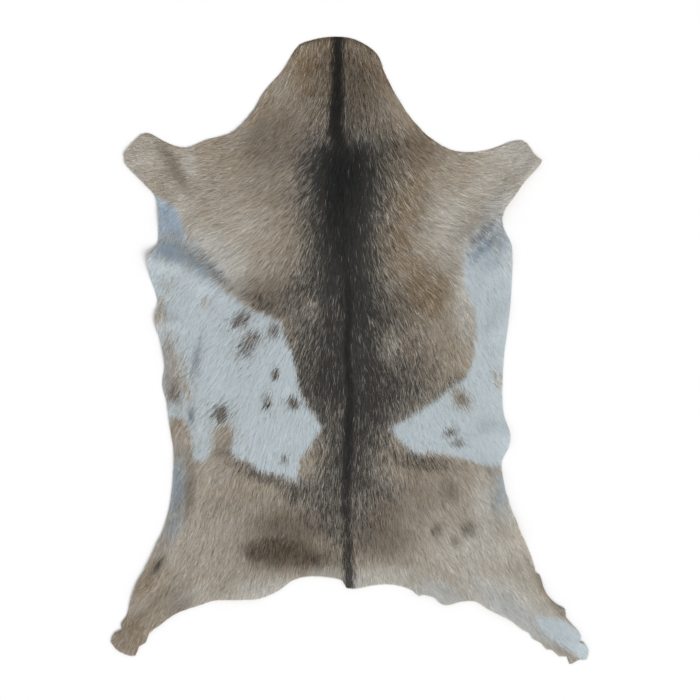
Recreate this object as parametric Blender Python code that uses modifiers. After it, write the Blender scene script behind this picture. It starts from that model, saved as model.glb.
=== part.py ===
"""A whole goatskin with its hair on, tanned flat and laid coat side up as a rug.

The skin is one sheet. Its underside is the tanned flesh side, flat on the floor but for the soft
folds near the edge, and its thickness is the leather and the coat lying on it. The neck is at +Y,
the hind legs at -Y, and the origin is on the floor under the middle of the skin.
"""
import math

import bpy
from mathutils import Vector, noise
from mathutils.geometry import delaunay_2d_cdt
from mathutils.kdtree import KDTree

MM = 0.001

# Leather and coat, in millimetres: the sheet's thickness at its cut edge, over most of the skin,
# and the most that any tuft may reach.
EDGE_DEPTH = 3.2
COAT_DEPTH = 5.6
COAT_DEPTH_LIMIT = 10.0
EDGE_TAPER = 26.0

# The ridge of long dark hair down the spine, in millimetres.
SPINE_RIDGE_HEIGHT = 1.6
SPINE_RIDGE_HALF_WIDTH = 22.0

# Tufts of the coat and the slow wave of the dried edge, in millimetres.
TUFT_HEIGHT = 0.7
TUFT_SPACING = 38.0
EDGE_WAVE_HEIGHT = 3.0
EDGE_WAVE_SPACING = 85.0
EDGE_WAVE_REACH = 34.0

# A fold lower than this lies flat, in millimetres.
FLAT_BELOW = 0.6

# Spacing of the sheet's points, in millimetres: along the edge, from the edge to the row of points
# inside it, by the folds, and over the flat back. The finer spacing reaches this many half-widths
# to each side of a fold.
EDGE_STEP = 9.0
RIM_INSET = 6.5
FOLD_PITCH = 10.0
BACK_PITCH = 2.0 * FOLD_PITCH
FOLD_MARGIN = 1.7

# The cut edge, clockwise from the left corner of the neck as seen from above. Each row is one turn
# of the edge: x, y in millimetres. A smooth closed curve runs through all of them.
NECK_CUT = (
    (-83, 450), (-75, 459), (-58, 465), (-40, 469), (-12, 470), (8, 466), (34, 451), (44, 439),
)
RIGHT_NECK_SIDE = (
    (50, 421), (66, 388), (88, 353), (103, 335), (120, 319), (150, 301), (178, 297), (205, 300),
)
RIGHT_FORELEG = (
    (246, 314), (257, 315), (266, 309), (279, 290), (287, 285), (285, 279), (262, 254), (245, 230),
    (230, 209), (227, 198),
)
RIGHT_FLANK = (
    (229, 185), (241, 161), (243, 145), (241, 80), (235, 25), (231, -5), (228, -65), (231, -98),
    (240, -125), (237, -146), (228, -163), (227, -177),
)
RIGHT_GROIN = (
    (233, -212), (243, -243), (260, -283), (270, -304), (276, -324),
)
RIGHT_SHANK = (
    (277, -332), (284, -336), (288, -350), (295, -366), (310, -381), (322, -387), (323, -399),
    (346, -427),
)
RIGHT_HIND_FOOT = (
    (343, -437), (351, -438), (357, -447), (354, -463), (342, -463), (329, -470), (325, -458),
    (313, -458), (302, -448), (294, -448),
)
RIGHT_THIGH = (
    (286, -438), (274, -432), (268, -423), (258, -418), (240, -404), (208, -388), (187, -375),
)
RIGHT_RUMP = (
    (165, -376), (142, -381), (134, -378), (128, -371), (110, -365), (102, -367), (94, -359),
    (64, -350), (35, -351), (16, -355),
)
TAIL_ROOT = (
    (2, -356), (-5, -355), (-11, -344),
)
LEFT_RUMP = (
    (-35, -339), (-66, -338), (-88, -345), (-105, -358), (-135, -371), (-165, -373), (-203, -374),
)
LEFT_THIGH = (
    (-224, -381), (-249, -389), (-265, -396), (-286, -412), (-301, -423), (-306, -437),
    (-316, -443),
)
LEFT_HIND_FOOT = (
    (-322, -457), (-336, -455), (-350, -447), (-358, -437), (-352, -423), (-341, -418),
)
LEFT_SHANK = (
    (-343, -410), (-335, -398), (-327, -370), (-316, -343), (-307, -328), (-292, -296),
)
LEFT_GROIN = (
    (-280, -270), (-271, -240), (-266, -205), (-263, -158),
)
LEFT_FLANK = (
    (-270, -110), (-273, -82), (-281, -50), (-277, -22), (-284, 15), (-292, 42), (-288, 74),
    (-301, 118), (-301, 143), (-289, 158), (-286, 182), (-287, 210),
)
LEFT_FORELEG = (
    (-292, 232), (-309, 251), (-337, 281), (-338, 294), (-322, 315), (-313, 324), (-303, 326),
    (-272, 310), (-245, 304), (-214, 316),
)
LEFT_NECK_SIDE = (
    (-180, 325), (-163, 338), (-142, 364), (-128, 389), (-100, 421),
)
CUT_EDGE = (
    NECK_CUT + RIGHT_NECK_SIDE + RIGHT_FORELEG + RIGHT_FLANK + RIGHT_GROIN + RIGHT_SHANK
    + RIGHT_HIND_FOOT + RIGHT_THIGH + RIGHT_RUMP + TAIL_ROOT + LEFT_RUMP + LEFT_THIGH
    + LEFT_HIND_FOOT + LEFT_SHANK + LEFT_GROIN + LEFT_FLANK + LEFT_FORELEG + LEFT_NECK_SIDE
)

# Soft folds, where the skin bulges off the floor. Each row is one straight length of a fold, in
# millimetres: what it is, x and y of its start, x and y of its end, its height and its half-width.
FOLDS = (
    ("left shoulder roll", -262, 226, -238, 178, 8.0, 15.0),
    ("left shoulder roll", -238, 178, -186, 128, 10.0, 18.0),
    ("left armpit flap", -284, 205, -268, 176, 5.0, 10.0),
    ("left armpit bulge", -300, 138, -262, 130, 13.0, 14.0),
    ("left armpit bulge", -262, 130, -228, 104, 11.0, 16.0),
    ("left foreleg crease", -322, 292, -284, 293, 6.0, 13.0),
    ("left foreleg hem", -306, 264, -268, 244, 6.0, 9.0),
    ("left flank ruffle", -291, 50, -262, 40, 6.0, 13.0),
    ("left flank roll", -268, 2, -258, -32, 6.0, 12.0),
    ("left flank roll", -258, -32, -242, -66, 6.0, 10.0),
    ("left flank dimple, outer", -262, -84, -247, -132, 5.5, 11.0),
    ("left flank dimple, inner", -228, -76, -227, -112, 4.0, 8.0),
    ("left groin roll", -244, -162, -240, -214, 8.5, 12.0),
    ("left groin roll", -240, -214, -254, -262, 8.5, 12.0),
    ("left groin roll", -254, -262, -278, -306, 7.0, 11.0),
    ("left shank roll", -288, -318, -316, -372, 5.5, 12.0),
    ("left shank roll", -262, -366, -330, -428, 6.0, 14.0),
    ("left thigh hem", -206, -362, -146, -360, 3.5, 11.0),
    ("right shoulder roll", 240, 234, 205, 190, 10.0, 14.0),
    ("right shoulder roll", 205, 190, 168, 160, 9.0, 17.0),
    ("right foreleg hem", 280, 284, 248, 248, 6.0, 8.0),
    ("right armpit bulge", 240, 150, 214, 118, 5.0, 14.0),
    ("right flank wave", 238, 62, 214, 26, 4.0, 14.0),
    ("right flank bulge", 238, -128, 208, -122, 6.0, 17.0),
    ("right groin roll", 218, -186, 224, -226, 7.5, 11.0),
    ("right groin roll", 224, -226, 248, -280, 8.0, 11.0),
    ("right shank roll", 258, -330, 300, -394, 6.5, 13.0),
    ("right shank roll", 300, -394, 340, -444, 6.0, 13.0),
    ("right thigh hem", 250, -400, 196, -374, 4.0, 10.0),
    ("right rump wave", 148, -372, 96, -352, 3.5, 12.0),
)

# Where the coat is longer or shorter than elsewhere. Each row is one round area, in millimetres:
# what it is, x and y of its middle, its reach across and along, and the change of depth.
COAT_AREAS = (
    ("shoulder cape", -14, 262, 88, 110, 1.7),
    ("neck", -14, 430, 62, 90, 0.8),
    ("rump", -20, -270, 190, 90, 0.9),
    ("left belly", -210, -20, 88, 150, -1.2),
    ("right belly", 210, -40, 66, 140, -1.2),
    ("left foreleg", -290, 280, 90, 60, -0.9),
    ("right foreleg", 235, 270, 80, 60, -0.9),
    ("left hind foot", -325, -420, 70, 70, -0.7),
    ("right hind foot", 325, -425, 70, 70, -0.7),
)

# The line of the spine: y and x in millimetres, from the neck to the tail.
SPINE = ((470, -16), (330, -19), (230, -10), (60, -4), (-60, -8), (-357, -1))

# The finish of each side: linear red, green and blue, and roughness.
COAT_COLOUR = (0.175, 0.147, 0.112)
COAT_ROUGHNESS = 0.75
FLESH_SIDE_COLOUR = (0.52, 0.47, 0.40)
FLESH_SIDE_ROUGHNESS = 0.95


def clear_scene():
    """Start from an empty scene."""
    for item in list(bpy.data.objects):
        bpy.data.objects.remove(item, do_unlink=True)


def make_material(name, colour, roughness):
    """A plain, non-metallic finish."""
    material = bpy.data.materials.new(name)
    material.use_nodes = True
    shader = material.node_tree.nodes["Principled BSDF"]
    shader.inputs["Base Color"].default_value = (*colour, 1.0)
    shader.inputs["Roughness"].default_value = roughness
    shader.inputs["Metallic"].default_value = 0.0
    material.diffuse_color = (*colour, 1.0)
    return material


def blend(knots, values, parameter):
    """The linear blend or extension of two values between two knots."""
    share = (parameter - knots[0]) / (knots[1] - knots[0])
    return values[0].lerp(values[1], share)


def curve_between(before, start, end, after, share):
    """A point of the centripetal Catmull-Rom curve between start and end."""
    corners = (before, start, end, after)
    knots = [0.0]
    for here, there in zip(corners, corners[1:]):
        knots.append(knots[-1] + math.sqrt((there - here).length))
    at = knots[1] + share * (knots[2] - knots[1])
    first = [blend(knots[i:i + 2], corners[i:i + 2], at) for i in range(3)]
    second = [blend((knots[i], knots[i + 2]), first[i:i + 2], at) for i in range(2)]
    return blend(knots[1:3], second, at)


def edge_points():
    """Points along the cut edge, an even step apart, in millimetres."""
    turns = [Vector(row) for row in CUT_EDGE]
    count = len(turns)
    points = []
    for index, start in enumerate(turns):
        end = turns[(index + 1) % count]
        before, after = turns[index - 1], turns[(index + 2) % count]
        steps = max(1, round((end - start).length / EDGE_STEP))
        for step in range(steps):
            points.append(curve_between(before, start, end, after, step / steps))
    return points


def inside(point, ring):
    """Whether a point lies within a closed ring, by counting the edges to its right."""
    within = False
    for here, there in zip(ring, ring[1:] + ring[:1]):
        if (here.y > point.y) != (there.y > point.y):
            crossing = here.x + (there.x - here.x) * (point.y - here.y) / (there.y - here.y)
            if point.x < crossing:
                within = not within
    return within


def tree_of(points):
    """A search tree that finds the nearest of some points."""
    tree = KDTree(len(points))
    for index, point in enumerate(points):
        tree.insert((point.x, point.y, 0.0), index)
    tree.balance()
    return tree


def gap_to(tree, point):
    """How far a point is from the nearest one in a tree."""
    return tree.find((point.x, point.y, 0.0))[2]


def rim_points(edge, edge_tree):
    """A row of points just inside the edge, where the coat starts to thicken."""
    points = []
    for before, here, after in zip(edge[-1:] + edge[:-1], edge, edge[1:] + edge[:1]):
        along = (after - before).normalized()
        point = here + RIM_INSET * Vector((along.y, -along.x))
        crowded = points and (point - points[-1]).length < RIM_INSET
        if inside(point, edge) and gap_to(edge_tree, point) > 0.8 * RIM_INSET and not crowded:
            points.append(point)
    return points


def fold_reach(point):
    """How many half-widths a point lies from the nearest fold, and that fold's height there."""
    nearest, height = math.inf, 0.0
    for _name, x_start, y_start, x_end, y_end, top, half_width in FOLDS:
        start, end = Vector((x_start, y_start)), Vector((x_end, y_end))
        run = end - start
        share = min(1.0, max(0.0, (point - start).dot(run) / run.length_squared))
        away = (point - start - share * run).length / half_width
        nearest = min(nearest, away)
        height = max(height, top * math.exp(-away * away))
    return nearest, height


def smooth_step(low, high, value):
    """A ramp from 0 to 1 with soft ends."""
    share = min(1.0, max(0.0, (value - low) / (high - low)))
    return share * share * (3.0 - 2.0 * share)


def wave(point, spacing):
    """A slow uneven wave between about -1 and 1."""
    return noise.noise(Vector((point.x / spacing, point.y / spacing, 0.37)))


def lift_of(point, from_edge):
    """How high the flesh side lies above the floor."""
    fold = fold_reach(point)[1]
    rim = (1.0 - smooth_step(0.0, EDGE_WAVE_REACH, from_edge)) * wave(point, EDGE_WAVE_SPACING)
    return max(0.0, fold + EDGE_WAVE_HEIGHT * max(0.0, rim) - FLAT_BELOW)


def spine_at(y):
    """The x of the spine at a given y."""
    for (y_start, x_start), (y_end, x_end) in zip(SPINE, SPINE[1:]):
        if y >= y_end:
            return x_start + (x_end - x_start) * (y_start - y) / (y_start - y_end)
    return SPINE[-1][1]


def depth_of(point, from_edge):
    """The depth of leather and coat at a point."""
    depth = COAT_DEPTH
    for _name, x, y, across, along, change in COAT_AREAS:
        depth += change * math.exp(-((point.x - x) / across) ** 2 - ((point.y - y) / along) ** 2)
    off_spine = (point.x - spine_at(point.y)) / SPINE_RIDGE_HALF_WIDTH
    depth += SPINE_RIDGE_HEIGHT * math.exp(-off_spine * off_spine)
    depth += TUFT_HEIGHT * wave(point, TUFT_SPACING)
    ramp = smooth_step(0.0, EDGE_TAPER, from_edge)
    return min(COAT_DEPTH_LIMIT, EDGE_DEPTH + (depth - EDGE_DEPTH) * ramp)


def back_points(edge, rim_tree):
    """A triangular lattice over the skin, closer by the folds, clear of the rim."""
    points = []
    row_pitch = FOLD_PITCH * math.sqrt(3) / 2
    low_x, high_x = min(p.x for p in edge), max(p.x for p in edge)
    low_y, high_y = min(p.y for p in edge), max(p.y for p in edge)
    for row in range(int((high_y - low_y) / row_pitch) + 1):
        for column in range(int((high_x - low_x) / FOLD_PITCH) + 1):
            shift = 0.5 * (row % 2)
            point = Vector((low_x + (column + shift) * FOLD_PITCH, low_y + row * row_pitch))
            sparse = row % 2 == 0 and (column + row // 2) % 2 == 0
            by_fold = fold_reach(point)[0] < FOLD_MARGIN
            clearance = 0.75 * (FOLD_PITCH if by_fold else BACK_PITCH / 2)
            if (sparse or by_fold) and gap_to(rim_tree, point) > clearance and inside(point, edge):
                points.append(point)
    return points


def sheet_mesh(name):
    """The flesh side as an open sheet on its folds, and the depth of the coat at each point."""
    edge = edge_points()
    rim = rim_points(edge, tree_of(edge))
    points = edge + rim + back_points(edge, tree_of(edge + rim))
    bounds = [(index, (index + 1) % len(edge)) for index in range(len(edge))]
    corners, _edges, faces, _, _, _ = delaunay_2d_cdt(points, bounds, [], 1, 1e-4)
    edge_tree = tree_of(edge)
    places, depths = [], []
    for corner in corners:
        from_edge = gap_to(edge_tree, corner)
        places.append((corner.x * MM, corner.y * MM, lift_of(corner, from_edge) * MM))
        depths.append(depth_of(corner, from_edge))
    mesh = bpy.data.meshes.new(name)
    mesh.from_pydata(places, [], faces)
    mesh.validate()
    return mesh, depths


def make_hide(collection):
    """The one piece: the skin, given the depth of leather and coat on its upper side."""
    mesh, depths = sheet_mesh("hide")
    hide = bpy.data.objects.new("hide", mesh)
    collection.objects.link(hide)
    mesh.materials.append(make_material("tanned flesh side", FLESH_SIDE_COLOUR, FLESH_SIDE_ROUGHNESS))
    mesh.materials.append(make_material("goat coat", COAT_COLOUR, COAT_ROUGHNESS))
    mesh.shade_smooth()
    group = hide.vertex_groups.new(name="coat depth")
    for index, depth in enumerate(depths):
        group.add([index], depth / COAT_DEPTH_LIMIT, "REPLACE")
    coat = hide.modifiers.new("coat", "SOLIDIFY")
    coat.thickness = COAT_DEPTH_LIMIT * MM
    coat.offset = 1.0
    coat.vertex_group = group.name
    coat.material_offset = 1
    coat.material_offset_rim = 1
    return hide


def main():
    clear_scene()
    collection = bpy.data.collections.new("goatskin rug")
    bpy.context.scene.collection.children.link(collection)
    make_hide(collection)


main()
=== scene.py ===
"""The looks of a goatskin rug: its leather, and its coat made hair by hair."""
import math

import bmesh
import bpy
import numpy as np
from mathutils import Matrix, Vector
from mathutils.bvhtree import BVHTree


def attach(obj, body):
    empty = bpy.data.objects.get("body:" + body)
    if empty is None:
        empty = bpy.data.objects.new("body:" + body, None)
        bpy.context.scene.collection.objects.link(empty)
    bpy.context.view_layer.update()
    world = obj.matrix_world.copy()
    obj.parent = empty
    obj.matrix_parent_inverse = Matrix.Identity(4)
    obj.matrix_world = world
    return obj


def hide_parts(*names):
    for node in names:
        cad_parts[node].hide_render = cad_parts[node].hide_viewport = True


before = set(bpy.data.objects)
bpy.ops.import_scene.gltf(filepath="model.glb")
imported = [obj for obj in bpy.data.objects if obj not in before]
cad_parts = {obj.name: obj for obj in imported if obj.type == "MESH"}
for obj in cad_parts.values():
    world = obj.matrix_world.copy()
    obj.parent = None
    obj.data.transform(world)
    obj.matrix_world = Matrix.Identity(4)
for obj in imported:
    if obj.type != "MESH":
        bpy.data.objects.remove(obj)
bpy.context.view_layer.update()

MM = 0.001

# The leather. Its flesh side is every face whose normal is lower than FLESH_NORMAL.
LEATHER_THICKNESS = 1.3 * MM
THINNEST_COAT, THICKEST_COAT = 3.0 * MM, 10.0 * MM
WELD = 0.01 * MM
SMOOTHINGS, SMOOTHING = 3, 0.5
FLESH_NORMAL = -0.5
PALE_SUEDE, STAINED_SUEDE, DARK_ROOTS = "#cdbfa8", "#b39f84", "#6f6a68"
DARK_FIBRES, PALE_FIBRES = "#5c4a3a", "#7d6a55"
WOOL_SHADE = 0.6
ROOTS_SHOWING = 0.35
NAP_HEIGHT, NAP_STRENGTH = 0.4 * MM, 0.25
# Repeats a metre: stains are about 110 mm wide and wrinkles 8 mm apart. The nap and the cut fibres
# are really about 0.1 mm wide, and are drawn 0.7 and 1.1 mm wide so that they show.
STAINS, WRINKLES, NAP, FIBRES = 9.0, 120.0, 1400.0, 900.0

# The coat: real goat hair is 20 to 35 mm long and under 0.1 mm thick, so each blade here is a lock
# of several hairs, drawn as wide as it needs to be to show. Each row is one growth of hair over the
# whole skin: a name, the locks' length and width in millimetres, the lowest and highest share of
# the coat's depth that their tips rise to, and a seed.
COAT = (
    ("undercoat", 15.0, 1.3, 0.15, 0.45, 11),
    ("short_hair", 18.0, 0.9, 0.30, 0.70, 12),
    ("long_hair", 20.0, 0.7, 0.40, 0.85, 13),
    ("guard_hair", 21.0, 0.55, 0.50, 0.95, 14),
    ("top_hair", 22.0, 0.45, 0.60, 1.00, 15),
)
LOCKS_IN_A_GROWTH = 60000
LOCK_CORNERS = 5
# Locks reach this far past the skin's edge at most, and each is coloured for the place where it
# shows most, a share of its length from its root.
OVERHANG = 2.2 * MM
SHOWN_SHARE = 0.6
# The UV map has a cell for each lock, so many in a row, and the lock fills a share of its cell.
CELLS_ACROSS = 256
CELL_FILLED, CELL_MARGIN = 0.7, 0.15
# How the locks vary: the ranges of their length and width, how far they turn from the lie, in
# wisps about 20 mm wide and by themselves, how far they roll, in radians, and how unevenly they
# are clipped at the edge. Tufts, which share their colour, are about 2.5 mm wide.
LENGTHS, WIDTHS, CLIPPINGS = (0.65, 1.15), (0.6, 1.3), (0.2, 1.0)
WISP_TURN, STRAY_TURN, ROLL = 0.7, 0.2, 0.6
CLIPPED_RISE = 0.5
WISPS, TUFTS = 50.0, 400.0  # repeats a metre
FAR = 2.0

# The hair's colours, and how much darker or paler one lock is than the next.
HAIRS = ("white", "black", "brown", "pale", "grey", "gold")
WARM_TAN, COOL_TAN = "#ae9a7e", "#b9b1a5"
TAN_TURNS = 26.0  # repeats a metre, so warm and cool tan turn about every 40 mm
PALE_HAIR, BROWN_HAIR, GOLD_HAIR = "#dad8d1", "#584a3d", "#806640"
# The grey is the blue-grey of skin under thin hair, and is also painted as shade in the folds of the
# armpits and groins.
BLACK_HAIR, WHITE_HAIR, GREY_SKIN_AND_SHADE = "#0c1115", "#d6e0e4", "#b4c5d3"
DARKEST_LOCK, PALEST_LOCK = 0.52, 1.45
WHITE_CONTRAST, SLEEK_CONTRAST = 0.1, 0.5
# A lock's colour is darkened from its root to half its length, a painted shade, and by less where
# the hair is white or grey.
ROOT_SHADE, WHITE_ROOT_SHADE, SHADED = 0.55, 0.8, 0.5
# A lock is several hairs, so it takes a share of its black from the hair all round it: the lower
# where there is little black, the higher where nearly all is black. Over grey, which stands for skin
# showing through and for painted shade, it takes it all.
MINGLED, MOST_MINGLED = 0.2, 0.7
# One lock in five in the coat is a pale fleck, and some in the black are a little frosted.
FLECK_SHARE, FROST_SHARE = 0.6, 0.05
FLECK_ODDS = 0.2
# Whether a lock is black, and its tone, come by chance and by the tuft that it is in, which counts
# for these shares. TUFT_SPREAD is the range of the tufts' noise that is stretched to 0 to 1.
TUFT_BLACK, TUFT_TONE, TUFT_SPREAD = 0.3, 0.4, 0.4
# A lock's share of brown, gold or pale is this much of the share all round it, and up to this more.
LEAST_TINT, TINT_RANGE = 0.6, 0.8
# White hair, grey hair (thin hair, and the painted shade in the folds) and the hair down the legs
# are finer and shorter than the rest. Each leg is a soft oval, laid out as the rows of spots are.
SLEEK_SHARE = 0.7
LEGS = ((-310, 295, 70, 60, 0), (295, 285, 60, 60, 0), (-320, -430, 80, 70, -35),
        (325, -430, 80, 70, 35))

# The studio, in metres. The camera's frame is as wide as the photo's, whose pixels are 1.5 mm.
FRAME_WIDTH = 1.05
CAMERA_NORTH = 0.00075
CAMERA_LENS, SENSOR_WIDTH = 85.0, 36.0  # millimetres
FLOOR_WIDTH, SIGHT = 8.0, 100.0
FLOOR_PAPER, SKY = "#fafafa", "#ffffff"
WORLD_STRENGTH = 0.56
LAMP_PLACE = (1.0, -1.2, 1.7)
LAMP_ANGLE = math.radians(40)
LAMP_STRENGTH = 2.1

# The lie of the hair. Each row is a place, x and y in millimetres, and the way that the hair points
# there, in degrees from the right-hand side, anticlockwise.
HAIR_LIE = (
    (-17, 465, -91), (-65, 445, -102), (35, 440, -76), (-95, 395, -118), (65, 385, -62),
    (-17, 330, -90), (-60, 335, -120), (55, 335, -60), (-105, 350, -128), (100, 325, -48),
    (-110, 290, -145), (110, 285, -35), (-160, 300, -160), (160, 285, -16), (-150, 255, -158),
    (150, 255, -20), (-205, 285, -172), (205, 280, -4), (-260, 290, 178), (250, 290, 14),
    (-320, 295, 168), (280, 288, 18), (-260, 245, -165), (232, 232, 30), (-205, 215, -162),
    (205, 215, -6), (-155, 205, -157), (150, 205, -20), (-100, 210, -135), (95, 205, -45),
    (-50, 210, -112), (50, 210, -66), (-8, 200, -90), (-262, 185, -110), (220, 180, -60),
    (-205, 150, -150), (190, 150, -40), (-150, 130, -140), (150, 130, -38), (-95, 120, -126),
    (95, 120, -55), (-5, 100, -90), (-280, 130, -118), (225, 120, -72), (-230, 90, -125),
    (205, 70, -64), (-160, 50, -128), (150, 40, -56), (-80, 40, -112), (80, 40, -68),
    (-5, 0, -90), (-275, 30, -105), (232, 20, -75), (-225, -20, -124), (200, -20, -58),
    (-150, -30, -126), (130, -30, -60), (-70, -40, -106), (60, -40, -74), (-8, -100, -90),
    (-262, -70, -112), (222, -80, -66), (-200, -110, -132), (190, -110, -52), (-130, -110, -126),
    (120, -120, -56), (-65, -130, -112), (50, -130, -72), (-255, -150, -104), (222, -165, -58),
    (-200, -180, -126), (190, -180, -52), (-130, -190, -122), (120, -190, -58), (-60, -200, -102),
    (55, -200, -74), (-3, -240, -90), (-255, -230, -105), (228, -225, -66), (-200, -250, -116),
    (190, -250, -58), (-120, -270, -110), (110, -270, -62), (-50, -290, -98), (50, -290, -76),
    (0, -345, -90), (-260, -300, -112), (250, -300, -64), (-200, -330, -114), (190, -330, -58),
    (-110, -335, -108), (100, -335, -62), (-280, -360, -122), (270, -370, -56), (-230, -375, -126),
    (230, -380, -52), (-320, -410, -122), (305, -410, -48), (-340, -440, -118), (345, -450, -46),
)
LIE_REACH = 38.0
FAINT_PULL = 1e-6  # what a far row still counts for, so that every place has a lie

# The dark spine. Each row is one level of the back, in millimetres: y, x of the middle, the black
# line's half-width and share of black, then the reach of the grizzled hair to its left and its
# share of black beside the line, and the same to its right.
SPINE = (
    (440, -18, 12, 0.90, 50, 0.25, 60, 0.38),
    (400, -18, 12, 0.93, 50, 0.34, 60, 0.46),
    (350, -20, 15, 0.95, 60, 0.40, 90, 0.52),
    (320, -19, 20, 0.95, 62, 0.60, 112, 0.66),
    (300, -12, 20, 0.95, 68, 0.97, 94, 0.96),
    (270, -12, 18, 0.95, 78, 0.99, 92, 0.99),
    (240, -9, 16, 0.95, 76, 0.99, 85, 0.97),
    (180, -7, 12, 0.95, 76, 0.96, 70, 0.95),
    (150, -6, 12, 0.95, 70, 0.95, 66, 0.93),
    (120, -4, 13, 0.95, 88, 0.91, 66, 0.91),
    (90, -3, 14, 0.95, 112, 0.88, 84, 0.90),
    (60, -1, 15, 0.95, 109, 0.86, 96, 0.89),
    (30, -3, 14, 0.95, 106, 0.84, 106, 0.87),
    (0, -4, 14, 0.95, 112, 0.85, 110, 0.84),
    (-60, 0, 13, 0.95, 130, 0.88, 146, 0.86),
    (-90, -1, 14, 0.95, 104, 0.74, 120, 0.83),
    (-120, -2, 15, 0.95, 58, 0.76, 82, 0.80),
    (-180, -4, 13, 0.93, 54, 0.74, 62, 0.76),
    (-210, -6, 12, 0.88, 100, 0.71, 92, 0.71),
    (-240, -6, 13, 0.84, 80, 0.64, 76, 0.60),
    (-270, -5, 11, 0.76, 60, 0.57, 60, 0.49),
    (-330, -2, 9, 0.80, 20, 0.25, 24, 0.30),
)
# The powers by which the line and the grizzled hair fade out; the higher, the crisper.
LINE_EDGE, GRIZZLED_EDGE = 3.0, 2.6

# The white patches, in millimetres, each a ring of x, y where the white hair ends.
LEFT_PATCH = (
    (-330, 240), (-290, 234), (-276, 222), (-262, 214), (-254, 198), (-248, 178), (-242, 158),
    (-226, 134), (-214, 118), (-198, 98), (-175, 80), (-150, 62), (-120, 50), (-103, 42), (-98, 20),
    (-88, 0), (-83, -22), (-78, -45), (-68, -76), (-50, -101), (-43, -115), (-60, -145),
    (-75, -162), (-79, -195), (-97, -190), (-135, -180), (-150, -167), (-172, -160), (-180, -146),
    (-176, -128), (-182, -112), (-205, -116), (-206, -146), (-218, -167), (-235, -165),
    (-239, -125), (-248, -106), (-262, -100), (-330, -96),
)
RIGHT_PATCH = (
    (270, 212), (229, 199), (213, 177), (195, 161), (177, 149), (170, 130), (169, 105), (178, 80),
    (187, 62), (191, 20), (187, 0), (181, -20), (175, -40), (143, -63), (106, -90), (80, -105),
    (60, -115), (72, -132), (85, -145), (100, -154), (140, -155), (185, -168), (205, -173),
    (270, -180),
)
RIGHT_FOOT_PATCH = (
    (277, -400), (300, -399), (324, -406), (348, -422), (372, -432), (372, -470), (350, -466),
    (334, -453), (314, -441), (298, -430), (284, -416),
)
PATCH_SOFTNESS = 3.0
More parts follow.
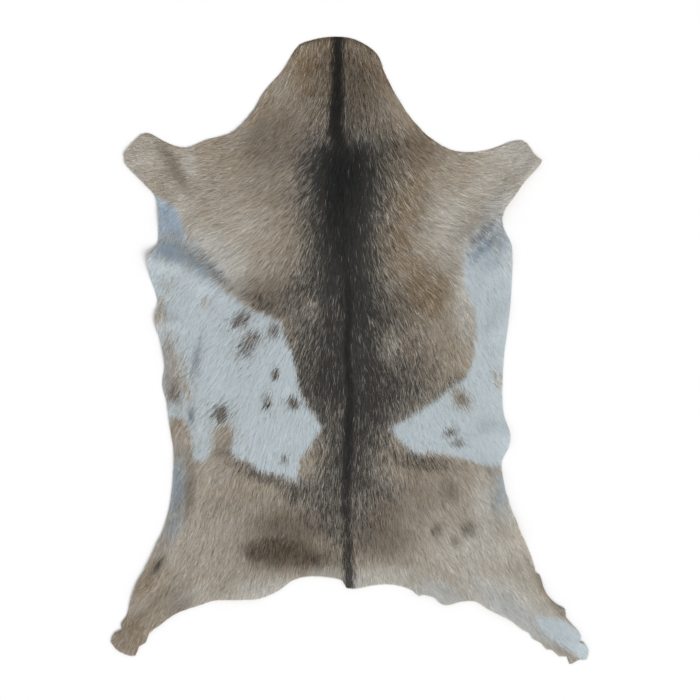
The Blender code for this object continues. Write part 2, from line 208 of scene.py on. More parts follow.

# Shades of the tan coat. Each row is one soft oval, in millimetres and degrees: its hair, x and y
# of its middle, its reach across and along, its tilt, and its share of that hair at the middle.
# Grey stands for thin hair with the blue-grey skin showing through, and in the folds of the armpits
# and groins for painted shade.
COAT_SPOTS = (
    ("gold", -15, 425, 90, 75, 0, 0.95),
    ("brown", 10, 400, 70, 80, 0, 0.35),
    ("brown", -116, 242, 44, 26, -20, 0.24),
    ("pale", -95, 395, 22, 30, -30, 0.15),
    ("pale", -250, 216, 26, 26, 0, 0.60),
    ("pale", -175, 180, 50, 40, 0, 0.30),
    ("pale", -195, 148, 56, 26, -40, 0.80),
    ("pale", 172, 185, 60, 60, 0, 0.60),
    ("pale", -320, 285, 40, 40, 0, 0.40),
    ("pale", -240, 277, 11, 22, 25, 0.55),
    ("pale", 252, 262, 52, 56, 0, 0.75),
    ("pale", 222, 238, 44, 40, 0, 0.55),
    ("pale", 222, 222, 18, 32, -52, 0.90),
    ("pale", 178, 75, 22, 60, 0, 0.75),
    ("pale", -205, -185, 44, 40, 0, 0.20),
    ("pale", -200, -300, 80, 60, 0, 0.30),
    ("pale", -228, -366, 36, 18, 25, 0.60),
    ("pale", -108, -362, 74, 24, 0, 0.85),
    ("pale", -36, -335, 30, 12, 0, 0.90),
    ("pale", 208, -240, 34, 44, 0, 0.80),
    ("pale", 236, -250, 14, 32, 14, 0.70),
    ("pale", 90, -304, 22, 18, 0, 0.35),
    ("pale", 190, -320, 90, 60, 0, 0.70),
    ("pale", 60, -346, 90, 22, 0, 0.85),
    ("pale", 140, -362, 46, 18, -15, 1.00),
    ("pale", 240, -385, 90, 40, -35, 0.90),
    ("pale", 63, 9, 16, 26, 0, 0.35),
    ("pale", -62, 62, 18, 16, 0, 0.35),
    ("gold", -105, 320, 50, 50, 0, 0.15),
    ("gold", 85, 300, 50, 60, 0, 0.70),
    ("gold", 84, 230, 36, 64, 0, 1.00),
    ("gold", 68, 150, 30, 60, 0, 1.00),
    ("pale", 66, 130, 22, 50, 0, 0.15),
    ("gold", -75, 190, 35, 70, 0, 0.25),
    ("gold", 108, 95, 46, 52, 0, 0.90),
    ("gold", 145, 10, 30, 50, 0, 0.25),
    ("gold", 90, -10, 70, 60, 0, 0.30),
    ("gold", 296, 262, 6, 30, -45, 0.80),
    ("gold", -322, -432, 34, 24, 0, 0.45),
    ("gold", -297, -338, 14, 30, -35, 0.30),
    ("brown", -110, 312, 56, 50, 0, 0.45),
    ("brown", -160, -240, 50, 40, 0, 0.15),
    ("brown", 104, 302, 34, 30, 0, 0.40),
    ("brown", -120, 82, 50, 26, -30, 0.45),
    ("brown", 76, 62, 26, 24, 0, 0.25),
    ("brown", 116, -30, 24, 24, 0, 0.25),
    # Painted shade along a fold of the left foreleg, drawn as brown hair.
    ("brown", -264, 276, 9, 42, 31, 0.45),
    ("brown", -106, -298, 50, 26, 2, 0.95),
    ("brown", -140, -300, 20, 19, 0, 0.90),
    ("brown", -75, -308, 52, 18, -8, 0.85),
    ("brown", -92, -264, 64, 26, 0, 0.60),
    ("brown", 48, -280, 46, 32, 0, 0.55),
    ("brown", 62, -240, 28, 26, 0, 0.45),
    ("brown", 98, -225, 34, 40, 0, 0.30),
    ("brown", 150, -210, 18, 18, 0, 0.45),
    ("brown", 160, -240, 30, 30, 0, 0.15),
    ("brown", -188, -150, 24, 12, 0, 0.25),
    ("brown", 300, -366, 7, 46, 34, 0.40),
    ("brown", 322, -452, 26, 6, -25, 0.15),
    ("brown", -288, -322, 7, 18, -35, 0.55),
    ("brown", -256, -387, 18, 26, -20, 0.45),
    ("brown", -241, -210, 9, 42, -6, 0.55),
    ("black", -82, -213, 20, 20, 0, 0.60),
    ("black", -130, 70, 34, 14, -30, 0.50),
    ("black", -130, -186, 56, 13, -18, 0.55),
    ("black", 100, -166, 56, 15, -4, 0.50),
    ("black", 130, -66, 60, 13, 32, 0.45),
    ("black", -188, -150, 24, 10, 0, 0.30),
    ("black", 66, -150, 26, 16, 0, 0.45),
    ("brown", 176, -266, 13, 14, 0, 0.45),
    ("black", 176, -266, 12, 13, 0, 0.25),
    ("brown", 129, -268, 9, 12, 0, 0.50),
    ("black", 129, -268, 9, 11, 0, 0.25),
    ("brown", 158, -286, 7, 7, 0, 0.50),
    ("black", -286, -320, 4, 10, -35, 0.60),
    # Painted shade: the two grey rows below darken the fold of the left groin.
    ("grey", -262, -210, 14, 50, -5, 0.75),
    ("grey", -264, -262, 12, 26, -18, 0.50),
    ("grey", 250, -398, 70, 16, -35, 0.30),
    ("grey", 138, -368, 46, 16, -15, 0.25),
    # Painted shade from here to the end of the table: grey and black spots darken the folds of both
    # groins and both armpits.
    ("grey", 232, -200, 14, 40, -14, 0.60),
    ("black", -258, -225, 14, 60, -8, 0.18),
    ("grey", 202, 172, 38, 14, 45, 0.60),
    ("grey", -212, 130, 46, 10, -43, 0.50),
    ("grey", -238, 152, 20, 12, -43, 0.60),
    ("black", 228, -195, 10, 30, -14, 0.15),
    ("black", -212, 126, 44, 8, -43, 0.42),
    ("black", 201, 172, 36, 12, 45, 0.48),
)

# Coloured hair on the white patches, laid out as the rows above.
PATCH_SPOTS = (
    ("brown", -155, 6, 12, 18, -25, 0.65),
    ("brown", -146, 22, 11, 8, 0, 0.65),
    ("brown", -163, 46, 17, 9, 30, 0.80),
    ("brown", -115, 30, 7, 10, -20, 0.85),
    ("brown", -113, -38, 5, 9, -10, 0.85),
    ("brown", -124, -80, 6, 8, 0, 0.85),
    ("brown", -85, -78, 9, 8, 0, 0.95),
    ("brown", -194, -96, 12, 12, 0, 0.85),
    ("tan", -190, -132, 13, 19, -25, 0.80),
    ("brown", -192, -130, 13, 15, -25, 0.35),
    ("brown", -99, -163, 5, 6, 0, 0.65),
    ("grey", -231, -12, 8, 28, -12, 0.50),
    ("brown", -231, -16, 6, 24, -12, 0.55),
    ("tan", -216, 71, 8, 8, 0, 0.35),
    ("tan", -270, 98, 12, 14, 0, 0.20),
    ("tan", -285, 54, 10, 20, 0, 0.70),
    ("tan", -270, -30, 14, 44, 4, 0.90),
    ("grey", -276, -26, 8, 30, 4, 0.35),
    ("brown", -268, -38, 12, 34, 4, 0.15),
    ("brown", -262, -62, 12, 16, 0, 0.55),
    ("tan", -249, -52, 8, 28, 22, 0.60),
    ("grey", -260, -92, 14, 12, 0, 0.30),
    ("tan", -253, -130, 12, 26, 10, 0.80),
    ("grey", -237, -96, 4, 13, 0, 0.90),
    ("black", -238, -97, 3, 10, 0, 0.40),
    ("grey", -268, 192, 26, 38, 0, 1.20),
    # Painted shade from here to the last black row below: a grey band under the left armpit's
    # crease, grey in the valley beside it, and black along the crease and the valley.
    ("grey", -258, 148, 36, 14, -14, 1.20),
    ("grey", -214, 122, 46, 11, -43, 0.90),
    ("black", -264, 158, 30, 3, -13, 0.30),
    ("black", -230, 143, 14, 6, -40, 0.35),
    ("black", -214, 124, 44, 8, -43, 0.42),
    ("tan", 166, -72, 10, 17, 35, 0.75),
    ("brown", 168, -74, 8, 13, 35, 0.40),
    ("brown", 151, -122, 9, 6, 20, 0.75),
    ("brown", 163, -138, 9, 6, 20, 0.70),
    ("tan", 222, -42, 9, 12, 0, 0.50),
    # Painted shade: the three rows below darken the fold of the right armpit in grey and black.
    ("grey", 206, 164, 38, 16, 45, 0.90),
    ("grey", 226, 166, 12, 18, 0, 0.50),
    ("black", 202, 168, 38, 14, 45, 0.42),
    ("tan", 240, 128, 8, 12, 0, 0.25),
)

# The least share of black hair in the tan coat, and of pale hair for each share of black.
SPECKLE = 0.12
GRIZZLE = 0.4


def linear(code):
    """A colour's sRGB hex code as linear red, green, blue and alpha."""
    parts = [int(code[i:i + 2], 16) / 255 for i in (1, 3, 5)]
    return (*(p / 12.92 if p <= 0.04045 else ((p + 0.055) / 1.055) ** 2.4 for p in parts), 1.0)


def add(tree, kind, inputs=(), **settings):
    """Adds a node with its settings, and with links or values for its inputs, by name or number.
    A node that is given as an input stands for its first output."""
    made = tree.nodes.new(kind)
    for name, value in settings.items():
        setattr(made, name, value)
    for key, value in dict(inputs).items():
        if isinstance(value, bpy.types.Node):
            value = next(socket for socket in value.outputs if socket.enabled)
        if isinstance(value, bpy.types.NodeSocket):
            tree.links.new(value, made.inputs[key])
        else:
            made.inputs[key].default_value = value
    return made


# The coat's pattern and lie


def ring_depth(places, ring):
    """How far places lie inside a ring; less than 0 outside it."""
    corners = np.array(ring, float)
    nearest = np.full(len(places), np.inf)
    within = np.zeros(len(places), bool)
    for here, there in zip(corners, np.roll(corners, -1, axis=0)):
        run = there - here
        share = np.clip((places - here) @ run / (run @ run), 0.0, 1.0)
        nearest = np.minimum(nearest, np.linalg.norm(places - here - share[:, None] * run, axis=1))
        crosses = (here[1] > places[:, 1]) != (there[1] > places[:, 1])
        if here[1] != there[1]:
            x = here[0] + run[0] * (places[:, 1] - here[1]) / run[1]
            within ^= crosses & (places[:, 0] < x)
    return np.where(within, nearest, -nearest)


def oval(places, x, y, across, along, tilt):
    """A soft oval: 1 at its middle, a half at its rim."""
    turn = math.radians(tilt)
    east, north = places[:, 0] - x, places[:, 1] - y
    side = (east * math.cos(turn) + north * math.sin(turn)) / across
    ahead = (north * math.cos(turn) - east * math.sin(turn)) / along
    return 1.0 / (1.0 + (side * side + ahead * ahead) ** 2)


def spine_shares(places):
    """The shares of black hair in the spine's line and in the grizzled hair beside it, at places in
    millimetres."""
    levels = np.array(SPINE[::-1], float)
    x, core, line_share, left, left_share, right, right_share = (
        np.interp(places[:, 1], levels[:, 0], levels[:, i]) for i in range(1, 8)
    )
    off = places[:, 0] - x
    line = line_share / (1.0 + np.abs(off / core) ** LINE_EDGE)
    reach = np.where(off < 0, left, right)
    share = np.where(off < 0, left_share, right_share)
    return line, share * np.exp(-np.abs(off / reach) ** GRIZZLED_EDGE)


def daub(shares, places, spots, ground):
    """Lays soft spots over the coat, each as far as the hair that it is on, its ground, goes."""
    for kind, *shape, share in spots:
        drawn = np.minimum(share * oval(places, *shape), 1.0) * ground
        covers = ("white",) if kind in ("black", "brown", "gold") else HAIRS
        for other in covers:
            shares[other] = shares[other] * (1.0 - drawn)
        if kind in HAIRS:
            shares[kind] = np.maximum(shares[kind], drawn)


def coat_shares(places):
    """The shares of each of HAIRS at places in millimetres; what is left over is tan hair."""
    shares = {kind: np.zeros(len(places)) for kind in HAIRS}
    line, grizzled = spine_shares(places)
    shares["pale"] = GRIZZLE * grizzled
    shares["black"] = np.maximum(grizzled, SPECKLE)
    daub(shares, places, COAT_SPOTS, 1.0)
    shares["black"] = np.maximum(shares["black"], line)
    depth = np.full(len(places), -np.inf)
    for ring in (LEFT_PATCH, RIGHT_PATCH, RIGHT_FOOT_PATCH):
        depth = np.maximum(depth, ring_depth(places, ring))
    white = 1.0 / (1.0 + np.exp(-depth / PATCH_SOFTNESS * 2.0))
    for kind in HAIRS:
        shares[kind] = shares[kind] * (1.0 - white)
    shares["white"] = white
    daub(shares, places, PATCH_SPOTS, white)
    return shares


def sleekness(shares, places):
    """How fine, short and even the hair is: most in white hair, in grey hair (thin hair, and painted
    shade in the folds), and down the legs.
    """
    legs = [oval(places, *leg) for leg in LEGS]
    return np.maximum.reduce([shares["white"], shares["grey"], *legs])


def lie_at(places):
    """The way that the hair points, as unit x and y, at places in millimetres."""
    rows = np.array(HAIR_LIE, float)
    headings = np.radians(rows[:, 2])
    ways = np.stack([np.cos(headings), np.sin(headings)], axis=1)
    total = np.zeros((len(places), 2))
    for (x, y), way in zip(rows[:, :2], ways):
        gap = np.hypot(places[:, 0] - x, places[:, 1] - y) / LIE_REACH
        total += (np.exp(-gap * gap) + FAINT_PULL / (1.0 + gap * gap))[:, None] * way
    return total / np.linalg.norm(total, axis=1, keepdims=True)


# The leather


def give(mesh, name, kind, values, field):
    """Stores one value for each vertex."""
    layer = mesh.attributes.new(name, kind, "POINT")
    layer.data.foreach_set(field, np.ascontiguousarray(values, dtype=np.float32).ravel())


def places_of(mesh):
    """A mesh's vertices as an array, in metres."""
    flat = np.empty(len(mesh.vertices) * 3, np.float32)
    mesh.vertices.foreach_get("co", flat)
    return flat.reshape(-1, 3).astype(float)


def flesh_side():
    """The flesh side of the skin as an open sheet facing up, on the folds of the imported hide, with
    the depth of the coat over it."""
    model = bmesh.new()
    model.from_mesh(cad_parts["hide"].data)
    bmesh.ops.remove_doubles(model, verts=model.verts, dist=WELD)
    whole = BVHTree.FromBMesh(model)
    others = [face for face in model.faces if face.normal.z > FLESH_NORMAL]
    bmesh.ops.delete(model, geom=others, context="FACES")
    bmesh.ops.reverse_faces(model, faces=model.faces)
    bmesh.ops.subdivide_edges(model, edges=model.edges, cuts=1, use_grid_fill=True)
    for _ in range(SMOOTHINGS):
        bmesh.ops.smooth_vert(model, verts=model.verts, factor=SMOOTHING, use_axis_x=False,
                              use_axis_y=False, use_axis_z=True)
    model.normal_update()
    depths = []
    for corner in model.verts:
        hit = whole.ray_cast(corner.co + Vector((0, 0, MM)), Vector((0, 0, 1)))
        depth = hit[3] + MM if hit[0] else THINNEST_COAT
        depths.append(max(THINNEST_COAT, min(depth, THICKEST_COAT)))
    mesh = bpy.data.meshes.new("flesh side")
    model.to_mesh(mesh)
    model.free()
    give(mesh, "coat_depth", "FLOAT", depths, "value")
    return mesh


def made_of(name, mesh):
    """An object at the origin with this mesh."""
    piece = bpy.data.objects.new(name, mesh)
    bpy.context.scene.collection.objects.link(piece)
    return piece


def applied(piece):
    """The piece's mesh with its modifiers worked in, which are then removed."""
    graph = bpy.context.evaluated_depsgraph_get()
    mesh = bpy.data.meshes.new_from_object(piece.evaluated_get(graph), depsgraph=graph)
    piece.modifiers.clear()
    piece.data = mesh
    return mesh


def make_sheet():
    """The flesh side with the facts that its hair grows by."""
    mesh = flesh_side()
    sheet = made_of("sheet", mesh)
    places = places_of(mesh)[:, :2] / MM
    shares = coat_shares(places)
    give(mesh, "lie", "FLOAT_VECTOR", np.c_[lie_at(places), np.zeros(len(places))], "vector")
    give(mesh, "sleek", "FLOAT", sleekness(shares, places), "value")
    give(mesh, "coat", "FLOAT_COLOR", np.c_[[shares[kind] for kind in HAIRS[:4]]].T, "color")
    for kind in HAIRS[4:]:
        give(mesh, kind, "FLOAT", shares[kind], "value")
    return sheet


def make_rim(sheet):
    """A wall that stands on the sheet's edge, by which the locks feel where the skin ends."""
    model = bmesh.new()
    model.from_mesh(sheet.data)
    posts = [corner.co for edge in model.edges if edge.is_boundary for corner in edge.verts]
    walls = [(i, i + 1, i + 2, i + 3) for i in range(0, 2 * len(posts), 4)]
    corners = []
    for start, end in zip(posts[::2], posts[1::2]):
        corners += [(start.x, start.y, -1), (end.x, end.y, -1), (end.x, end.y, 1),
                    (start.x, start.y, 1)]
    model.free()
    mesh = bpy.data.meshes.new("rim")
    mesh.from_pydata(corners, [], walls)
    return made_of("rim", mesh)


# Finishes


def new_material(name, roughness, specular):
    """An empty dielectric finish, its tree and its shader."""
    material = bpy.data.materials.new(name)
    material.use_nodes = True
    shader = material.node_tree.nodes["Principled BSDF"]
    shader.inputs["Roughness"].default_value = roughness
    shader.inputs["Specular IOR Level"].default_value = specular
    return material, material.node_tree, shader


def coat_colours(tree):
    """Tan hair, warmer and cooler by turns, mixed with the other hairs by the piece's shares."""
    coat, grey, gold = (
        add(tree, "ShaderNodeAttribute", attribute_name=name) for name in ("coat", "grey", "gold"))
    shares = add(tree, "ShaderNodeSeparateColor", {"Color": coat.outputs["Color"]})
    place = add(tree, "ShaderNodeTexCoord")
    turns = add(tree, "ShaderNodeTexNoise",
                {"Vector": place.outputs["Object"], "Scale": TAN_TURNS, "Detail": 3.0})
    colour = add(tree, "ShaderNodeMix", {0: turns, 6: linear(WARM_TAN), 7: linear(COOL_TAN)},
                 data_type="RGBA")
    for code, share in (
        (GOLD_HAIR, gold.outputs["Fac"]), (PALE_HAIR, coat.outputs["Alpha"]),
        (BROWN_HAIR, shares.outputs["Blue"]), (GREY_SKIN_AND_SHADE, grey.outputs["Fac"]),
        (BLACK_HAIR, shares.outputs["Green"]), (WHITE_HAIR, shares.outputs["Red"]),
    ):
        colour = add(tree, "ShaderNodeMix", {0: share, 6: colour, 7: linear(code)},
                     data_type="RGBA")
    return colour


def goat_hair():
    """Goat hair, washed and combed: flat locks with a soft shine, paler or darker from one to the
    next, and with painted shade where they grow out of the undercoat."""
    material, tree, shader = new_material(
        "goat hair, washed and combed", roughness=0.5, specular=0.22)
    chance = add(tree, "ShaderNodeAttribute", attribute_name="chance")
    along = add(tree, "ShaderNodeAttribute", attribute_name="along")
    tone = add(tree, "ShaderNodeMapRange",
               {0: chance.outputs["Fac"], 3: DARKEST_LOCK, 4: PALEST_LOCK})
    coat = add(tree, "ShaderNodeAttribute", attribute_name="coat")
    grey = add(tree, "ShaderNodeAttribute", attribute_name="grey")
    white = add(tree, "ShaderNodeSeparateColor", {"Color": coat.outputs["Color"]})
    light = add(tree, "ShaderNodeMath", {0: white, 1: grey.outputs["Fac"]}, operation="MAXIMUM")
    shade = add(tree, "ShaderNodeMapRange", {0: light, 3: ROOT_SHADE, 4: WHITE_ROOT_SHADE})
    root = add(tree, "ShaderNodeMapRange", {0: along.outputs["Fac"], 2: SHADED, 3: shade})
    both = add(tree, "ShaderNodeMath", {0: tone, 1: root}, operation="MULTIPLY")
    colour = add(tree, "ShaderNodeHueSaturation", {"Color": coat_colours(tree), "Value": both})
    tree.links.new(colour.outputs[0], shader.inputs["Base Color"])
    return material


def haired_side():
    """The grain side of the leather under the coat: short wool in the coat's own colours, dull and
    darker than the hair that shades it."""
    material, tree, shader = new_material(
        "goat leather, grain side with wool", roughness=0.9, specular=0.2)
    dim = add(tree, "ShaderNodeHueSaturation", {"Color": coat_colours(tree), "Value": WOOL_SHADE})
    tree.links.new(dim.outputs[0], shader.inputs["Base Color"])
    return material


def suede_side():
    """The flesh side: alum-tanned, staked and buffed, so pale and matt with a short nap, faint
    cloudy stains, and a grey cast where black hair roots show through."""
    material, tree, shader = new_material(
        "goat leather, buffed flesh side", roughness=0.92, specular=0.2)
    place = add(tree, "ShaderNodeTexCoord")
    coat = add(tree, "ShaderNodeAttribute", attribute_name="coat")
    shares = add(tree, "ShaderNodeSeparateColor", {"Color": coat.outputs["Color"]})
    stains = add(tree, "ShaderNodeTexNoise", {
        "Vector": place.outputs["Object"], "Scale": STAINS, "Detail": 5.0, "Roughness": 0.6})
    hue = add(tree, "ShaderNodeMix", {
        0: stains.outputs["Fac"], 6: linear(PALE_SUEDE), 7: linear(STAINED_SUEDE)},
        data_type="RGBA")
    roots = add(tree, "ShaderNodeMath", {0: shares.outputs["Green"], 1: ROOTS_SHOWING},
                operation="MULTIPLY")
    cast = add(tree, "ShaderNodeMix", {
        0: roots.outputs[0], 6: hue.outputs[2], 7: linear(DARK_ROOTS)}, data_type="RGBA")
    nap = add(tree, "ShaderNodeTexNoise", {
        "Vector": place.outputs["Object"], "Scale": NAP, "Detail": 3.0})
    wrinkles = add(tree, "ShaderNodeTexVoronoi", {
        "Vector": place.outputs["Object"], "Scale": WRINKLES, "Randomness": 1.0},
        feature="DISTANCE_TO_EDGE")
    rough = add(tree, "ShaderNodeMath", {
        0: nap.outputs["Fac"], 1: wrinkles.outputs["Distance"]}, operation="ADD")
    bump = add(tree, "ShaderNodeBump", {
        "Height": rough.outputs[0], "Strength": NAP_STRENGTH, "Distance": NAP_HEIGHT})
    tree.links.new(cast.outputs[2], shader.inputs["Base Color"])
    tree.links.new(bump.outputs[0], shader.inputs["Normal"])
    return material


def cut_edge():
    """The knife-cut edge of the leather: brown and matt, with the fibres showing as fine flecks."""
    material, tree, shader = new_material(
        "goat leather, cut edge", roughness=0.85, specular=0.2)
    place = add(tree, "ShaderNodeTexCoord")
    flecks = add(tree, "ShaderNodeTexNoise", {
        "Vector": place.outputs["Object"], "Scale": FIBRES, "Detail": 2.0})
    hue = add(tree, "ShaderNodeMix", {
        0: flecks, 6: linear(DARK_FIBRES), 7: linear(PALE_FIBRES)}, data_type="RGBA")
    tree.links.new(hue.outputs[2], shader.inputs["Base Color"])
    return material


# The pieces


def make_leather(sheet):
    """The leather: the sheet given its thickness on the haired side."""
    leather = made_of("leather", sheet.data.copy())
    for material in (haired_side(), suede_side(), cut_edge()):
        leather.data.materials.append(material)
    wall = leather.modifiers.new("thickness", "SOLIDIFY")
    wall.thickness = LEATHER_THICKNESS
    wall.offset = 1.0
    wall.material_offset = 1
    wall.material_offset_rim = 2
    applied(leather)
    leather.data.shade_smooth()
    return leather


def make_lock():
    """One lock of hair, a unit long, wide and high. It rises fast and is nearly as wide at its
    middle as at its root, then it flattens out and ends in a point."""
    half, rise = 0.42, 0.6
    mesh = bpy.data.meshes.new("lock")
    mesh.from_pydata(
        [(-0.5, 0, 0), (0.5, 0, 0), (half, 0.5, rise), (-half, 0.5, rise), (0, 1, 1)],
        [], [(0, 1, 2, 3), (3, 2, 4)])
    give(mesh, "along", "FLOAT", [0.0, 0.0, 0.5, 0.5, 1.0], "value")
    give(mesh, "side", "FLOAT", [-0.5, 0.5, 0.5, -0.5, 0.0], "value")
    return made_of("lock", mesh)


def hair_tree():
    """Grows locks on a skin, each laid the way that the skin's "lie" says, and drapes them."""
    tree = bpy.data.node_groups.new("hair on skin", "GeometryNodeTree")
    for name, kind in (
        ("Skin", "Geometry"), ("Lock", "Object"), ("Rim", "Object"), ("Density", "Float"),
        ("Length", "Float"), ("Width", "Float"), ("Lowest Tips", "Float"),
        ("Highest Tips", "Float"), ("Leather", "Float"), ("Overhang", "Float"),
        ("Shown Share", "Float"), ("Seed", "Int"), ("Finish", "Material"),
    ):
        tree.interface.new_socket(name, in_out="INPUT", socket_type="NodeSocket" + kind)
    tree.interface.new_socket("Hair", in_out="OUTPUT", socket_type="NodeSocketGeometry")
    given = add(tree, "NodeGroupInput").outputs
    place = add(tree, "GeometryNodeInputPosition")
    lie = add(tree, "GeometryNodeInputNamedAttribute", {"Name": "lie"}, data_type="FLOAT_VECTOR")
    coat_depth, root_height, sleek = (
        add(tree, "GeometryNodeInputNamedAttribute", {"Name": name}, data_type="FLOAT")
        for name in ("coat_depth", "root_height", "sleek")
    )
    stray, length_share, width_share, slack, chance = (
        add(tree, "FunctionNodeRandomValue", {2: low, 3: high, "Seed": seed}, data_type="FLOAT")
        for low, high, seed in ((-STRAY_TURN, STRAY_TURN, 1), (*LENGTHS, 2), (*WIDTHS, 3),
                                (*CLIPPINGS, 4), (0.0, 1.0, 5))
    )
    fineness = add(tree, "ShaderNodeMapRange", {0: sleek, 3: 1.0, 4: SLEEK_SHARE})

    # The roots stand on the haired side of the leather.
    normal = add(tree, "GeometryNodeInputNormal")
    lift = add(tree, "ShaderNodeVectorMath", {0: normal, "Scale": given["Leather"]},
               operation="SCALE")
    grain = add(tree, "GeometryNodeSetPosition", {"Geometry": given["Skin"], "Offset": lift})
    roots = add(tree, "GeometryNodeDistributePointsOnFaces", {
        "Mesh": grain, "Density": given["Density"], "Seed": given["Seed"]})

    # A lock follows the lie, strays in its wisp and a little by itself, and rolls.
    wisps = add(tree, "ShaderNodeTexNoise", {"Vector": place, "Scale": WISPS, "Detail": 2.0})
    wisp_turn = add(tree, "ShaderNodeMath", {0: wisps, 1: 2.0 * WISP_TURN, 2: -WISP_TURN},
                    operation="MULTIPLY_ADD")
    turn = add(tree, "ShaderNodeMath", {0: wisp_turn, 1: fineness, 2: stray},
               operation="MULTIPLY_ADD")
    way = add(tree, "ShaderNodeVectorRotate", {"Vector": lie, "Angle": turn},
              rotation_type="Z_AXIS")
    turned = add(tree, "FunctionNodeAxesToRotation", {
        "Primary Axis": (0, 0, 1), "Secondary Axis": way}, primary_axis="Z", secondary_axis="Y")
    roll = add(tree, "FunctionNodeRandomValue", {0: (0, -ROLL, 0), 1: (0, ROLL, 0), "Seed": 6},
               data_type="FLOAT_VECTOR")
    rolling = add(tree, "FunctionNodeEulerToRotation", {0: roll})
    rolled = add(tree, "FunctionNodeRotateRotation", {"Rotation": turned, "Rotate By": rolling},
                 rotation_space="LOCAL")

    # It is clipped where it would reach far past the edge of the skin.
    full = add(tree, "ShaderNodeMath", {0: given["Length"], 1: length_share}, operation="MULTIPLY")
    full = add(tree, "ShaderNodeMath", {0: full, 1: fineness}, operation="MULTIPLY")
    rim = add(tree, "GeometryNodeObjectInfo", {"Object": given["Rim"]})
    back = add(tree, "ShaderNodeVectorMath", {0: way, "Scale": -MM}, operation="SCALE")
    back = add(tree, "ShaderNodeVectorMath", {0: back, 1: place}, operation="ADD")
    felt = add(tree, "GeometryNodeRaycast", {
        "Target Geometry": rim.outputs["Geometry"], "Source Position": back,
        "Ray Direction": way, "Ray Length": FAR})
    gap = add(tree, "ShaderNodeMath", {0: felt.outputs["Hit Distance"], 1: MM},
              operation="SUBTRACT")
    room = add(tree, "ShaderNodeMath", {0: given["Overhang"], 1: slack, 2: gap},
               operation="MULTIPLY_ADD")
    kept = add(tree, "ShaderNodeMath", {0: room, 1: full}, operation="DIVIDE", use_clamp=True)
    length = add(tree, "ShaderNodeMath", {0: full, 1: kept}, operation="MULTIPLY")
    width = add(tree, "ShaderNodeMath", {0: given["Width"], 1: width_share}, operation="MULTIPLY")
    width = add(tree, "ShaderNodeMath", {0: width, 1: fineness}, operation="MULTIPLY")

    # Its tip rises to a share of the coat's depth, less where it is clipped, but not in step.
    tips = add(tree, "FunctionNodeRandomValue", {
        2: given["Lowest Tips"], 3: given["Highest Tips"], "Seed": 7}, data_type="FLOAT")
    depth = add(tree, "ShaderNodeMath", {0: coat_depth, 1: given["Leather"]},
                operation="SUBTRACT")
    rise = add(tree, "ShaderNodeMath", {0: depth, 1: tips}, operation="MULTIPLY")
    held = add(tree, "ShaderNodeMath", {0: kept, 1: CLIPPED_RISE}, operation="POWER")
    rise = add(tree, "ShaderNodeMath", {0: rise, 1: held}, operation="MULTIPLY")
    size = add(tree, "ShaderNodeCombineXYZ", {"X": width, "Y": length, "Z": rise})

    # Each lock carries its root's height, a chance number and the place where it shows.
    ahead = add(tree, "ShaderNodeMath", {0: length, 1: given["Shown Share"]}, operation="MULTIPLY")
    shown = add(tree, "ShaderNodeVectorMath", {0: way, "Scale": ahead}, operation="SCALE")
    shown = add(tree, "ShaderNodeVectorMath", {0: shown, 1: place}, operation="ADD")
    height = add(tree, "ShaderNodeSeparateXYZ", {0: place}).outputs["Z"]
    tufts = add(tree, "ShaderNodeTexNoise", {"Vector": shown, "Scale": TUFTS, "Detail": 1.0})
    marked = roots
    for name, kind, value in (("shown", "FLOAT_VECTOR", shown), ("chance", "FLOAT", chance),
                              ("tuft", "FLOAT", tufts), ("root_height", "FLOAT", height)):
        marked = add(tree, "GeometryNodeStoreNamedAttribute", {
            "Geometry": marked, "Name": name, "Value": value}, data_type=kind)
    lock = add(tree, "GeometryNodeObjectInfo", {"Object": given["Lock"]})
    grown = add(tree, "GeometryNodeInstanceOnPoints", {
        "Points": marked, "Instance": lock.outputs["Geometry"], "Rotation": rolled,
        "Scale": size})
    locks = add(tree, "GeometryNodeRealizeInstances", {0: grown})

    # The locks lie over the folds: each point keeps its height above the leather below it.
    here = add(tree, "ShaderNodeSeparateXYZ", {0: place}).outputs
    above = add(tree, "ShaderNodeCombineXYZ", {"X": here["X"], "Y": here["Y"], "Z": 1.0})
    below = add(tree, "GeometryNodeRaycast", {
        "Target Geometry": grain, "Source Position": above, "Ray Direction": (0, 0, -1),
        "Ray Length": FAR})
    beside = add(tree, "GeometryNodeSampleNearestSurface", {
        "Mesh": grain, "Value": place, "Sample Position": place}, data_type="FLOAT_VECTOR")
    ground = add(tree, "GeometryNodeSwitch", {
        "Switch": below.outputs["Is Hit"], "False": beside,
        "True": below.outputs["Hit Position"]}, input_type="VECTOR")
    ground = add(tree, "ShaderNodeSeparateXYZ", {0: ground}).outputs["Z"]
    above = add(tree, "ShaderNodeMath", {0: here["Z"], 1: root_height}, operation="SUBTRACT")
    level = add(tree, "ShaderNodeMath", {0: ground, 1: above}, operation="ADD")
    draped = add(tree, "ShaderNodeCombineXYZ", {"X": here["X"], "Y": here["Y"], "Z": level})
    laid = add(tree, "GeometryNodeSetPosition", {"Geometry": locks, "Position": draped})
    finished = add(tree, "GeometryNodeSetMaterial", {
        "Geometry": laid, "Material": given["Finish"]})
    add(tree, "NodeGroupOutput", {"Hair": finished})
    return tree


def set_inputs(modifier, values):
    """Sets a modifier's inputs, named as its tree names them, by their sockets' identifiers."""
    for socket in modifier.node_group.interface.items_tree:
        if socket.name in values:
            modifier[socket.identifier] = values[socket.name]


def read(mesh, name, field, width=1):
    """One lock a row: the values of an attribute that a lock's corners share."""
    values = np.empty(len(mesh.vertices) * width, np.float32)
    mesh.attributes[name].data.foreach_get(field, values)
    return values.reshape(-1, LOCK_CORNERS, width)[:, 0].astype(float)


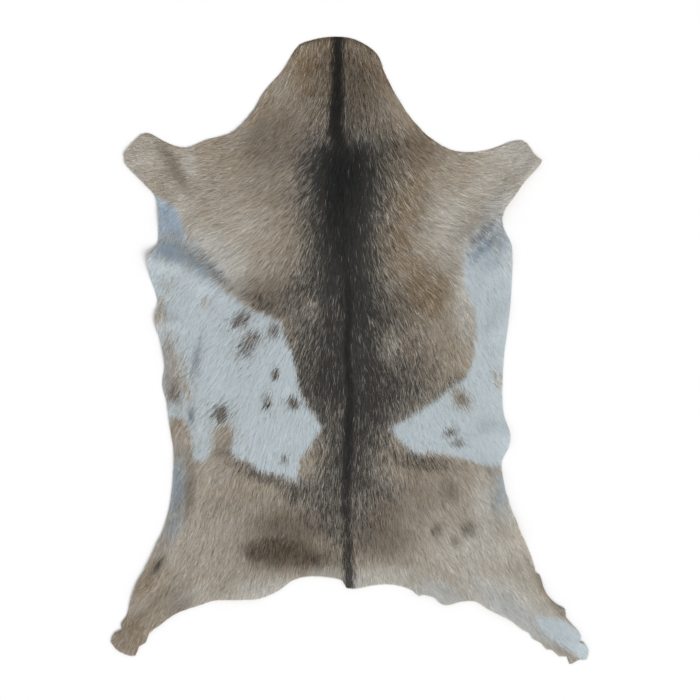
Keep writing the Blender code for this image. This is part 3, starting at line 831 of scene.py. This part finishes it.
def colour_locks(mesh, seed):
    """Gives each lock one colour, drawn by the shares of the coat where the lock shows, so that
    black, tan and white hairs mingle."""
    places = read(mesh, "shown", "vector", 3)[:, :2] / MM
    shares = coat_shares(places)
    tuft = np.clip((read(mesh, "tuft", "value")[:, 0] - 0.5) / TUFT_SPREAD + 0.5, 0.0, 1.0)
    chance = read(mesh, "chance", "value")[:, 0]
    draws = np.random.default_rng(seed).random((len(tuft), 4))
    is_white = draws[:, 0] < shares["white"]
    black, brown, pale, grey, gold = (
        shares[kind] / np.maximum(1.0 - shares["white"], 0.01) for kind in HAIRS[1:])
    is_black = (1.0 - TUFT_BLACK) * draws[:, 1] + TUFT_BLACK * tuft < black
    mingled = np.maximum(MINGLED + (MOST_MINGLED - MINGLED) * black * black, grey.clip(0.0, 1.0))
    black = (is_black + mingled * (black - is_black)) * (1.0 - FROST_SHARE * draws[:, 3] ** 3)
    tint, other_tint = (LEAST_TINT + TINT_RANGE * draws[:, i] for i in (2, 3))
    brown, gold, pale = brown * tint, gold * other_tint, pale * other_tint
    pale = pale + FLECK_SHARE * (draws[:, 2] > 1.0 - FLECK_ODDS)
    colours = (~is_white * np.array([is_white, black, brown, pale])).T
    colours[:, 0] = is_white
    coarse = 1.0 - (1.0 - SLEEK_CONTRAST) * sleekness(shares, places)
    contrast = np.where(is_white, WHITE_CONTRAST, coarse)
    tone = 0.5 + ((1.0 - TUFT_TONE) * chance + TUFT_TONE * tuft - 0.5) * contrast
    for spent in ("coat", "grey", "gold", "chance", "tuft", "shown", "lie", "sleek",
                  "coat_depth", "root_height"):
        mesh.attributes.remove(mesh.attributes[spent])
    give(mesh, "coat", "FLOAT_COLOR",
         np.repeat(colours.clip(0.0, 1.0), LOCK_CORNERS, axis=0), "color")
    for name, values in (("grey", grey), ("gold", gold), ("chance", tone)):
        give(mesh, name, "FLOAT", np.repeat(values.clip(0.0, 1.0), LOCK_CORNERS), "value")


def lay_out(mesh):
    """A UV map with one small cell for each lock."""
    along, side = (np.empty(len(mesh.vertices), np.float32) for _ in range(2))
    mesh.attributes["along"].data.foreach_get("value", along)
    mesh.attributes["side"].data.foreach_get("value", side)
    lock = np.arange(len(mesh.vertices)) // LOCK_CORNERS
    across = (lock % CELLS_ACROSS + 0.5 + CELL_FILLED * side) / CELLS_ACROSS
    up = (lock // CELLS_ACROSS + CELL_MARGIN + CELL_FILLED * along) / CELLS_ACROSS
    corners = np.empty(len(mesh.loops), np.int32)
    mesh.loops.foreach_get("vertex_index", corners)
    layer = mesh.uv_layers.new(name="OFBake")
    layer.data.foreach_set(
        "uv", np.stack([across, up], axis=1)[corners].astype(np.float32).ravel())
    mesh.attributes.remove(mesh.attributes["side"])


def make_growth(sheet, lock, rim, tree, finish, row):
    """One growth of hair over the whole skin."""
    name, length, width, low, high, seed = row
    hair = made_of(name, sheet.data.copy())
    area = sum(face.area for face in sheet.data.polygons)
    grow = hair.modifiers.new("hair", "NODES")
    grow.node_group = tree
    set_inputs(grow, {
        "Lock": lock, "Rim": rim, "Density": LOCKS_IN_A_GROWTH / area, "Length": length * MM,
        "Width": width * MM, "Lowest Tips": low, "Highest Tips": high,
        "Leather": LEATHER_THICKNESS, "Overhang": OVERHANG, "Shown Share": SHOWN_SHARE,
        "Seed": seed, "Finish": finish,
    })
    mesh = applied(hair)
    colour_locks(mesh, seed)
    lay_out(mesh)
    return hair


# The studio


def make_studio():
    """A pale floor, a wide soft light above, and a camera straight above the rug."""
    bpy.ops.mesh.primitive_plane_add(size=FLOOR_WIDTH)
    floor = bpy.context.active_object
    floor.name = "floor"
    material, tree, shader = new_material(
        "matt white paper", roughness=0.9, specular=0.1)
    shader.inputs["Base Color"].default_value = linear(FLOOR_PAPER)
    floor.data.materials.append(material)

    world = bpy.data.worlds.new("studio")
    world.use_nodes = True
    world.node_tree.nodes["Background"].inputs["Color"].default_value = linear(SKY)
    world.node_tree.nodes["Background"].inputs["Strength"].default_value = WORLD_STRENGTH
    scene = bpy.context.scene
    scene.world = world
    scene.view_settings.view_transform = "Standard"

    lamp = bpy.data.lights.new("soft light", "SUN")
    lamp.angle = LAMP_ANGLE
    lamp.energy = LAMP_STRENGTH
    lit = bpy.data.objects.new("soft light", lamp)
    lit.location = LAMP_PLACE
    lit.rotation_euler = (-Vector(LAMP_PLACE)).to_track_quat("-Z", "Y").to_euler()
    scene.collection.objects.link(lit)

    lens = bpy.data.cameras.new("camera")
    lens.lens = CAMERA_LENS
    lens.sensor_width = SENSOR_WIDTH
    lens.clip_end = SIGHT
    camera = bpy.data.objects.new("camera", lens)
    camera.location = (0.0, CAMERA_NORTH, FRAME_WIDTH * CAMERA_LENS / SENSOR_WIDTH)
    scene.collection.objects.link(camera)
    scene.camera = camera


sheet = make_sheet()
lock = make_lock()
rim = make_rim(sheet)
tree = hair_tree()
finish = goat_hair()
leather = make_leather(sheet)
coat = [make_growth(sheet, lock, rim, tree, finish, row) for row in COAT]
for spent in (sheet, lock, rim):
    bpy.data.objects.remove(spent)

for piece in (leather, *coat):
    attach(piece, "root")
    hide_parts("hide")
make_studio()
